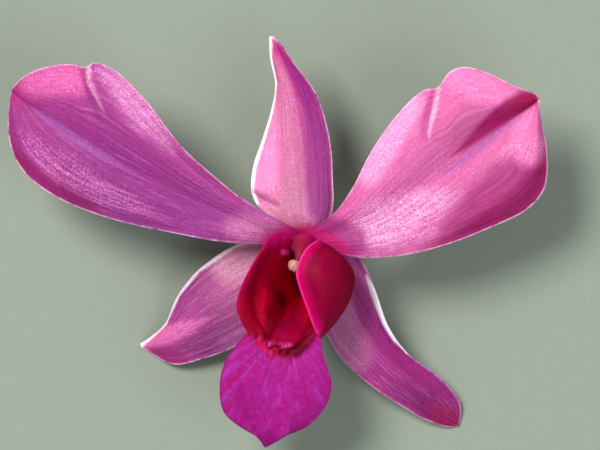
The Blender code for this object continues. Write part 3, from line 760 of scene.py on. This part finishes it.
def lipRelief(across, along, x, y, edge):
    plate, forward, sideways = callusPlate(x, y, across)
    height = lip["callusHeight"] * plate * (1.0 + 0.25 * ripple(x, y, 67, 2.4, 2.4))
    for keel in lip["keels"]:
        height += lip["keelHeight"] * bell(sideways, keel, 0.4) * plate * ramp(2.0, 4.8, forward)
    for frillX, frillY in lip["frills"]:
        frill = bell(np.hypot(x - frillX, y - frillY), 0.0, lip["frillRadius"])
        height += lip["frillHeight"] * frill * lipFloor(across)
    mouth = np.min([nearLine(x, y, *ends)[0] for ends in zip(lip["mouth"][:-1], lip["mouth"][1:])], axis=0)
    height += lip["mouthHeight"] * bell(mouth, 0.0, 0.8) * ripple(x, y, 66, 4.0, 4.0)
    streak = bell(nearLine(x, y, *lip["streakLine"])[0], 0.0, 0.6) * (across < -0.4) * (along > 0.25)
    height += lip["streakHeight"] * streak
    spread = ramp(-13.5, -18.0, y)
    height += lip["waveHeight"] * spread * ripple(x, y, 61, 1.0, 0.3)
    wander = 2.0 * ripple(x, y, 65, 0.5, 0.5)
    height += lip["veinRidge"] * spread * np.sin(fanTurn(x, y) * lip["fanVeins"] + wander)
    height += lip["ruffle"] * spread * ripple(across, along, 63, 2.0, 30.0) * np.abs(across) ** 6
    height -= lip["creaseDepth"] * bell(across, -0.62, 0.12) * ramp(-19.0, -25.0, y)
    grainX, grainY = lip["grainSpot"]
    grains = ripple(x, y, 64, 9.0, 9.0) * bell(np.hypot(x - grainX, y - grainY), 0.0, 2.4)
    return height + lip["grainHeight"] * grains * spread ** 0.25


def lipMarks(x, y, z, across):
    callus = callusPlate(x, y, across)[0]
    spread = ramp(-11.0, -14.4, y + 3.0 * bell(x, -2.2, 2.6) + 0.5 * ripple(x, y, 69, 1.6, 1.6))
    return {
        "callus": callus,
        "fan": fanTurn(x, y),
        "spread": spread * (1.0 - callus),
        "depth": ramp(3.5, -3.0, z),
        # share of painted shade on the right side of the lobe's outside
        "rightward": ramp(3.4, 6.4, x + 0.12 * y),
    }


def lipFinish():
    finish = Finish("lipSkin")
    across, along, edge, front = [finish.mark(k) for k in ("across", "along", "edge", "front")]
    callus, fan, spread, depth = [finish.mark(k) for k in ("callus", "fan", "spread", "depth")]
    blotches = finish.noise(2.4, 3.0, 0.6)
    mottle = finish.noise(0.8, 4.0, 0.7)
    cells = finish.noise(0.2, 2.0, 0.7)
    drift = finish.noise(5.0) * 4.0
    single = ((fan * lip["fanVeins"] + drift).wave() * 0.5 + 0.5) ** 2.5
    double = ((fan * lip["fanVeins"] * 2.1 + drift * 1.5).wave() * 0.5 + 0.5) ** 2.5
    veins = single * 0.75 + double * along.rise(0.72, 0.86) * 0.5

    # painted light: the deeper parts take the brighter red of the throat, standing for light coming
    # through the walls
    inside = finish.mix(depth, lip["wall"], lip["throat"])
    inside = finish.mix(blotches.rise(0.45, 0.7) * 0.4, inside, lip["throat"])
    inside = finish.mix(edge.rise(0.8, 0.0) * 0.5, inside, lip["wallEdge"])
    inside = finish.mix(callus * mottle.rise(0.2, 0.6) * 0.9, inside, lip["callus"])
    streaks = finish.noise(1.0, 4.0, 0.6, finish.alongVeins("fan", 0.011))
    lobe = finish.mix(streaks.rise(0.48, 0.72) * 0.55, lip["lobe"], lip["lobeVein"])
    lobe = finish.mix(streaks.rise(0.5, 0.3) * 0.7, lobe, lip["lobeLight"])
    lobe = finish.mix(mottle.rise(0.55, 0.75) * 0.3, lobe, lip["lobeLight"])
    lobe = finish.mix(veins * blotches.rise(0.2, 0.55) * 0.3, lobe, lip["lobeVein"])
    lobe = finish.mix(edge.rise(0.4, 0.05) * 0.6, lobe, lip["lobeRim"])
    face = finish.mix((spread - streaks + 0.5).rise(0.2, 0.9), inside, lobe)
    # painted light: a lighter band near the margins of the outside
    outside = finish.mix((edge + blotches * 0.8).rise(2.6, 0.8), lip["outer"], lip["outerEdge"])
    # painted shade: the outside darkens towards the right, on the side of the lobe that faces away from
    # the light
    outside = finish.mix(finish.mark("rightward") * 0.75, outside, lip["dark"])
    # painted light: the free margin of the right lobe, turned to the light, is bright pink
    outside = finish.mix(edge.rise(0.5, 0.1) * across.rise(0.0, 0.5) * 0.8, outside, lip["edge"])
    outside = finish.mix(spread, outside, lip["lobe"])
    body = finish.mix(front, outside, finish.strokes(face, lip["strokes"], mottle - 0.5))
    # painted sparkle: the same light and dark of cells, driven by the mottle, laid over the lip's colour
    body = finish.mix(0.5, body, finish.ramp(mottle, cellSparkleStops), "OVERLAY")

    low = finish.bump(veins * spread * 0.4 + mottle * 0.4, 0.07)
    normal = finish.bump(cells, 0.03, low)
    return finish.close(body, 0.48 - cells.rise(0.5, 0.8) * 0.12, normal, lip)


def makeLip():
    handOver(sheetPiece("lipWhole", lip, lipRelief, lipMarks), lipFinish(), "lip", "lip")


# Column, anther cap, pollinia and pedicel

column = {
    "path": [(0.0, -8.0, -11.9), (0.0, -4.9, -8.2), (0.0, -1.6, -4.0), (0.2, 0.0, -1.4),
        (-0.1, -0.8, 1.0), (-0.9, -2.6, 2.8)],
    "halfWidth": (1.9, 2.4, 2.6, 2.5, 1.9, 1.1), "halfDepth": (0.5, 0.9, 1.5, 1.9, 1.5, 0.85),
    "wing": 0.16, "wingAt": 0.8, "wingReach": 0.25, "wingTurn": 0.5, "bluntEnds": 1.6, "hollow": 0.35,
    "strokes": {
        "arch": stroke((178, 16, 92), 0.85, 1.0, [(-2.6, 1.2, 0.3), (-1, 1.8, 0.4), (0.8, 1.7, 0.4),
            (2.2, 0.9, 0.4)]),
        "rightSide": stroke((140, 6, 66), 0.8, 0.9, [(1.2, 0.4, 0.3), (0.8, -1.4, 0.3)]),
        "strip": stroke((112, 26, 60), 0.65, 0.7, [(-0.9, 1, 0.1), (-1, -0.4, 0.3), (-1, -1.8, 0.3)]),
    },
    "base": (134, 0, 30), "side": (156, 2, 46), "tip": (206, 130, 130), "glow": (190, 10, 70),
    "translucence": 0.1, "gloss": 0.2,
}
antherCap = {
    "radius": 0.98, "height": 1.1, "wall": 0.2, "gap": 0.2, "groove": 0.12, "beak": 0.25,
    "body": (194, 146, 130), "shade": (176, 110, 108), "blush": (176, 70, 96),
    "glow": (220, 170, 120), "translucence": 0.1, "gloss": 0.4,
}
pollinia = {"body": (226, 178, 40), "shade": (190, 128, 20), "glow": (220, 170, 40), "translucence": 0.05,
            "gloss": 0.5}
pedicel = {
    "path": [(0, -0.2, -2.4), (0, 0.95, -4.2), (-0.2, 2.3, -6.6), (-0.5, 5.4, -9.6), (-0.9, 10.2, -12.2),
             (-1.4, 16.2, -13.7), (-1.7, 22.4, -14.05)],
    "radius": (1.4, 1.4, 1.4, 1.25, 1.05, 0.95, 0.95), "grooves": 6, "grooveDepth": 0.16,
    "groovesTo": (0.75, 0.3), "unevenness": ((0.03, 9.0, 2.0), (0.02, 23.0, 0.0)),
    "endRings": (0.92, 0.7, 0.4),
    "ovary": (150, 70, 110), "stalk": (170, 150, 130), "far": (150, 160, 96), "cut": (196, 206, 150),
    "glow": (160, 140, 80), "translucence": 0.08, "gloss": 0.3,
}


def alongPath(piece, path, sizes, shapeAt):
    # a sphere or cylinder whose own z runs from 0 to 1 is drawn out along the path
    steps, reach = 400, 4
    spots = placesAlong(path, np.linspace(0.0, 1.0, steps + 1))
    for vertex in piece.data.vertices:
        spot = min(steps, max(0, round(vertex.co.z * steps)))
        forward = Vector(spots[min(steps, spot + reach)] - spots[max(0, spot - reach)]).normalized()
        side = Vector((1.0, 0.0, 0.0))
        up = forward.cross(side).normalized()
        side = up.cross(forward)
        right, rise = shapeAt(spot / steps, vertex.co.x, vertex.co.y, sizes)
        vertex.co = (Vector(spots[spot] + heart) + side * right + up * rise) * mm
    piece.data.update()


def columnShape(share, x, y, sizes):
    spread = math.hypot(x, y)
    angle = math.atan2(y, x)
    ends = min(1.0, spread * sizes["bluntEnds"])
    stations = np.linspace(0.0, 1.0, len(sizes["halfWidth"]))
    width = float(np.interp(share, stations, sizes["halfWidth"])) * ends
    depth = float(np.interp(share, stations, sizes["halfDepth"])) * ends
    fore = max(0.0, 1.0 - abs(share - sizes["wingAt"]) / sizes["wingReach"])
    wings = 1.0 + sizes["wing"] * fore * max(0.0, math.cos(2 * angle + sizes["wingTurn"])) ** 2
    hollow = 1.0 - sizes["hollow"] * fore * max(0.0, -math.sin(angle)) ** 4
    return math.cos(angle) * width * wings, math.sin(angle) * depth * hollow


def makeColumn():
    piece = newPiece("columnWhole", bpy.ops.mesh.primitive_uv_sphere_add, segments=48, ring_count=90,
                     radius=1.0)
    for vertex in piece.data.vertices:
        vertex.co.z = math.acos(max(-1.0, min(1.0, -vertex.co.z))) / math.pi
    shares = [v.co.z for v in piece.data.vertices]
    alongPath(piece, column["path"], column, columnShape)
    saveNumbers(piece.data, "along", shares)
    spots = np.array([v.co for v in piece.data.vertices]) / mm - heart
    paintStrokes(piece.data, column["strokes"], spots[:, 0], spots[:, 1])
    bpy.ops.object.shade_smooth()

    finish = Finish("columnSkin")
    along = finish.mark("along")
    noise = finish.noise(0.9, 3.0, 0.6)
    body = finish.mix(along.rise(0.55, 0.9), column["base"], column["side"])
    body = finish.mix(along.rise(0.95, 1.0) * 0.6, body, column["tip"])
    body = finish.strokes(body, column["strokes"], noise - 0.5)
    body = finish.mix(noise.rise(0.5, 0.8) * 0.3, body, column["base"])
    normal = finish.bump(noise, 0.1, finish.bump(finish.noise(0.15, 1.0), 0.04))
    handOver(piece, finish.close(body, 0.42 + noise * 0.1, normal, column), "column", "column")
    print("column modelled")


def columnTip():
    before, tip = [Vector(p) for p in placesAlong(column["path"], [0.9, 1.0])]
    axis = (tip - before).normalized()
    turn = axis.to_track_quat("Z", "Y").to_matrix().to_4x4()
    return Matrix.Translation((tip + axis * antherCap["gap"] + Vector(heart)) * mm) @ turn


def makeAntherCap():
    piece = newPiece("antherCapWhole", bpy.ops.mesh.primitive_uv_sphere_add, segments=48, ring_count=48,
                     radius=1.0)
    bpy.ops.object.mode_set(mode="EDIT")
    bpy.ops.mesh.select_all(action="SELECT")
    bpy.ops.mesh.bisect(plane_co=(0, 0, 0), plane_no=(0, 0, 1), clear_inner=True)
    bpy.ops.object.mode_set(mode="OBJECT")
    radius, height = antherCap["radius"], antherCap["height"]
    for vertex in piece.data.vertices:
        x, y, z = vertex.co
        groove = 1.0 - antherCap["groove"] * float(bell(x, 0.0, 0.16)) * max(0.0, z)
        beak = 1.0 + antherCap["beak"] * max(0.0, -y) ** 3 * (1.0 - z) * 0.4
        vertex.co = (x * radius, y * radius * beak, z * height * groove)
    piece.data.transform(Matrix.Scale(mm, 4))
    applyWall(piece, antherCap["wall"], offset=-1.0)
    piece.data.transform(columnTip())
    bpy.ops.object.shade_smooth()

    finish = Finish("antherCapSkin")
    noise = finish.noise(0.5, 3.0, 0.6)
    body = finish.mix(noise.rise(0.4, 0.75), antherCap["body"], antherCap["shade"])
    body = finish.mix(finish.noise(1.2).rise(0.5, 0.7) * 0.3, body, antherCap["blush"])
    normal = finish.bump(noise, 0.05)
    material = finish.close(body, 0.35 + noise * 0.15, normal, antherCap)
    handOver(piece, material, "anther_cap", "anther_cap")
    print("anther cap modelled")


def finishPollinia():
    finish = Finish("polliniumWax")
    noise = finish.noise(0.12, 3.0, 0.6)
    body = finish.mix(noise.rise(0.4, 0.7), pollinia["body"], pollinia["shade"])
    finish.close(body, 0.35 + noise * 0.2, finish.bump(noise, 0.02), pollinia)
    for number in range(4):
        bpy.data.objects[f"pollinium_{number + 1}"].material_slots[0].material = finish.material
    print("pollinia finished")


def pedicelShape(share, x, y, sizes):
    spread = math.hypot(x, y)
    stations = np.linspace(0.0, 1.0, len(sizes["radius"]))
    radius = float(np.interp(share, stations, sizes["radius"]))
    angle = math.atan2(y, x)
    groove = max(0.0, math.cos(sizes["grooves"] * angle)) ** 4 * float(ramp(*sizes["groovesTo"], share))
    radius -= sizes["grooveDepth"] * groove
    for height, along, around in sizes["unevenness"]:
        radius += height * math.sin(along * share + around * angle)
    return math.cos(angle) * spread * radius, math.sin(angle) * spread * radius


def makePedicel():
    piece = newPiece("pedicelWhole", bpy.ops.mesh.primitive_grid_add, x_subdivisions=60,
                     y_subdivisions=120, size=2.0)
    for vertex in piece.data.vertices:
        turn = math.pi * vertex.co.x
        vertex.co = (math.cos(turn), math.sin(turn), 0.5 + 0.5 * vertex.co.y)
    bpy.ops.object.mode_set(mode="EDIT")
    bpy.ops.mesh.select_all(action="SELECT")
    bpy.ops.mesh.remove_doubles(threshold=0.0001)
    for height in (0.0, 1.0):
        bpy.ops.mesh.select_all(action="DESELECT")
        bpy.ops.object.mode_set(mode="OBJECT")
        for edgeLine in piece.data.edges:
            ends = [piece.data.vertices[k].co.z for k in edgeLine.vertices]
            edgeLine.select = all(abs(z - height) < 1e-6 for z in ends)
        bpy.ops.object.mode_set(mode="EDIT")
        bpy.ops.mesh.select_mode(type="EDGE")
        for size in pedicel["endRings"]:
            bpy.ops.mesh.extrude_edges_move()
            bpy.ops.transform.resize(value=(size, size, 1.0), center_override=(0, 0, height))
        bpy.ops.mesh.edge_face_add()
    bpy.ops.mesh.select_all(action="SELECT")
    bpy.ops.mesh.normals_make_consistent(inside=False)
    bpy.ops.object.mode_set(mode="OBJECT")
    shares = [v.co.z for v in piece.data.vertices]
    inward = [math.hypot(v.co.x, v.co.y) for v in piece.data.vertices]
    alongPath(piece, pedicel["path"], pedicel, pedicelShape)
    saveNumbers(piece.data, "along", shares)
    saveNumbers(piece.data, "inward", inward)
    bpy.ops.object.shade_smooth_by_angle(angle=math.radians(50))

    finish = Finish("pedicelSkin")
    along, inward = finish.mark("along"), finish.mark("inward")
    noise = finish.noise(1.6, 3.0, 0.6)
    stops = [(0.0, pedicel["ovary"]), (0.35, pedicel["stalk"]), (1.0, pedicel["far"])]
    body = finish.ramp(along + noise * 0.2 - 0.1, stops)
    body = finish.mix(noise.rise(0.55, 0.8) * 0.4, body, pedicel["ovary"])
    body = finish.mix(inward.rise(0.93, 0.85) * along.rise(0.97, 0.99), body, pedicel["cut"])
    normal = finish.bump(finish.noise(0.3, 2.0), 0.05)
    handOver(piece, finish.close(body, 0.45 + noise * 0.15, normal, pedicel), "pedicel", "pedicel")
    print("pedicel modelled")


# Stage

stage = {
    "floor": (128, 137, 125), "floorGrain": (142, 150, 138), "floorSize": 4.0,
    "key": {"from": (-0.40, 0.36, 0.90), "distance": 0.9, "size": 0.34, "power": 10.4,
            "colour": (1.0, 0.97, 0.93)},
    "fill": {"from": (0.45, -0.35, 0.8), "distance": 1.1, "size": 0.9, "power": 6.2,
             "colour": (0.94, 0.96, 1.0)},
    "sky": (0.9, 0.95, 1.0, 1.0), "ambient": 0.38, "lens": 400.0, "sensor": 36.0, "farthest": 10.0,
    "frameWidth": 0.084, "aim": (-0.28, 2.8, 0.0),
}


def makeStage():
    bpy.ops.mesh.primitive_plane_add(size=stage["floorSize"], location=(0, 0, 0))
    floor = bpy.context.object
    floor.name = "floor"
    finish = Finish("floorPaper")
    grain = finish.noise(1.5, 3.0, 0.6)
    body = finish.mix(grain * 0.3, stage["floor"], stage["floorGrain"])
    sockets = {"Base Color": body, "Roughness": 0.9, "Specular IOR Level": 0.1}
    paper = finish.node("ShaderNodeBsdfPrincipled", {}, sockets)
    finish.node("ShaderNodeOutputMaterial", {}, {"Surface": paper})
    floor.data.materials.append(finish.material)

    centre = Vector(heart) * mm
    for name in ("key", "fill"):
        values = stage[name]
        lamp = bpy.data.lights.new(name, "AREA")
        lamp.shape = "DISK"
        lamp.size = values["size"]
        lamp.energy = values["power"]
        lamp.color = values["colour"]
        holder = bpy.data.objects.new(name, lamp)
        towards = Vector(values["from"]).normalized()
        holder.location = centre + towards * values["distance"]
        holder.rotation_euler = towards.to_track_quat("Z", "Y").to_euler()
        bpy.context.scene.collection.objects.link(holder)

    world = bpy.data.worlds.new("studio")
    world.use_nodes = True
    sky = world.node_tree.nodes["Background"]
    sky.inputs["Color"].default_value = stage["sky"]
    sky.inputs["Strength"].default_value = stage["ambient"]
    bpy.context.scene.world = world
    bpy.context.scene.view_settings.view_transform = "Standard"

    data = bpy.data.cameras.new("camera")
    data.lens = stage["lens"]
    data.sensor_width = stage["sensor"]
    data.clip_end = stage["farthest"]
    camera = bpy.data.objects.new("camera", data)
    distance = stage["frameWidth"] * stage["lens"] / stage["sensor"]
    camera.location = centre + Vector(stage["aim"]) * mm + Vector((0.0, 0.0, distance))
    bpy.context.scene.collection.objects.link(camera)
    bpy.context.scene.camera = camera
    print("stage set")


makeStage()
makePetals()
makeSepals()
makeLip()
makeColumn()
makeAntherCap()
finishPollinia()
makePedicel()
